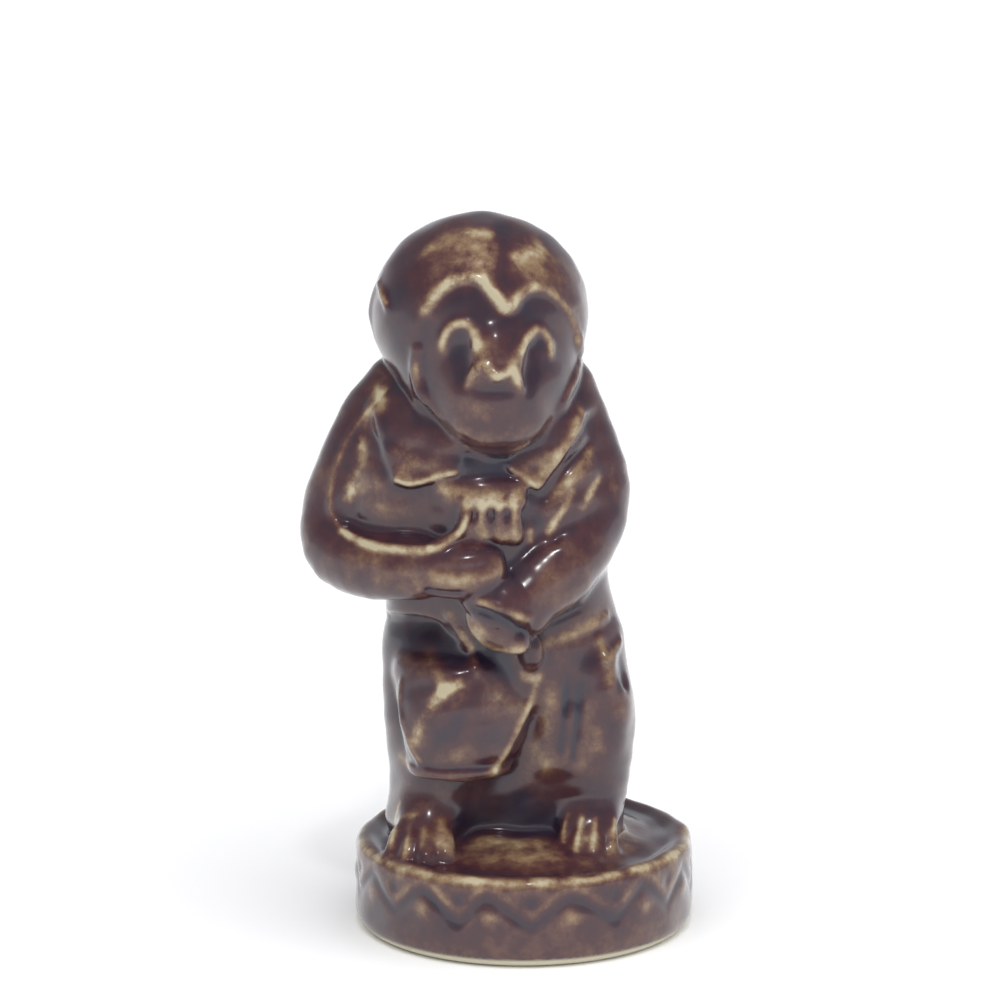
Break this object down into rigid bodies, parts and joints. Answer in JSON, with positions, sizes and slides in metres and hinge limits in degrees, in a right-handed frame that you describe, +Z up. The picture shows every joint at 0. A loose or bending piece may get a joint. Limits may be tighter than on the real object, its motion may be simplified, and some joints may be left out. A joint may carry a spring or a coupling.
{
  "type": "monkey figurine",
  "caption": "Small glazed porcelain monkey in a short jacket and wide trousers, arms crossed low and one knee forward, standing on a round circus drum with a zigzag band.",
  "frame": {"origin": "centre of the drum's flat underside, on the surface it stands on", "axes": "+Z up, -Y the way the monkey's body faces, +X towards its left hand"},
  "size_m": [0.0221, 0.0192, 0.0408],
  "materials": {
    "glaze": "glossy"
  },
  "bodies": {
    "root": {"monkey_on_drum": "glaze"}
  },
  "joints": []
}
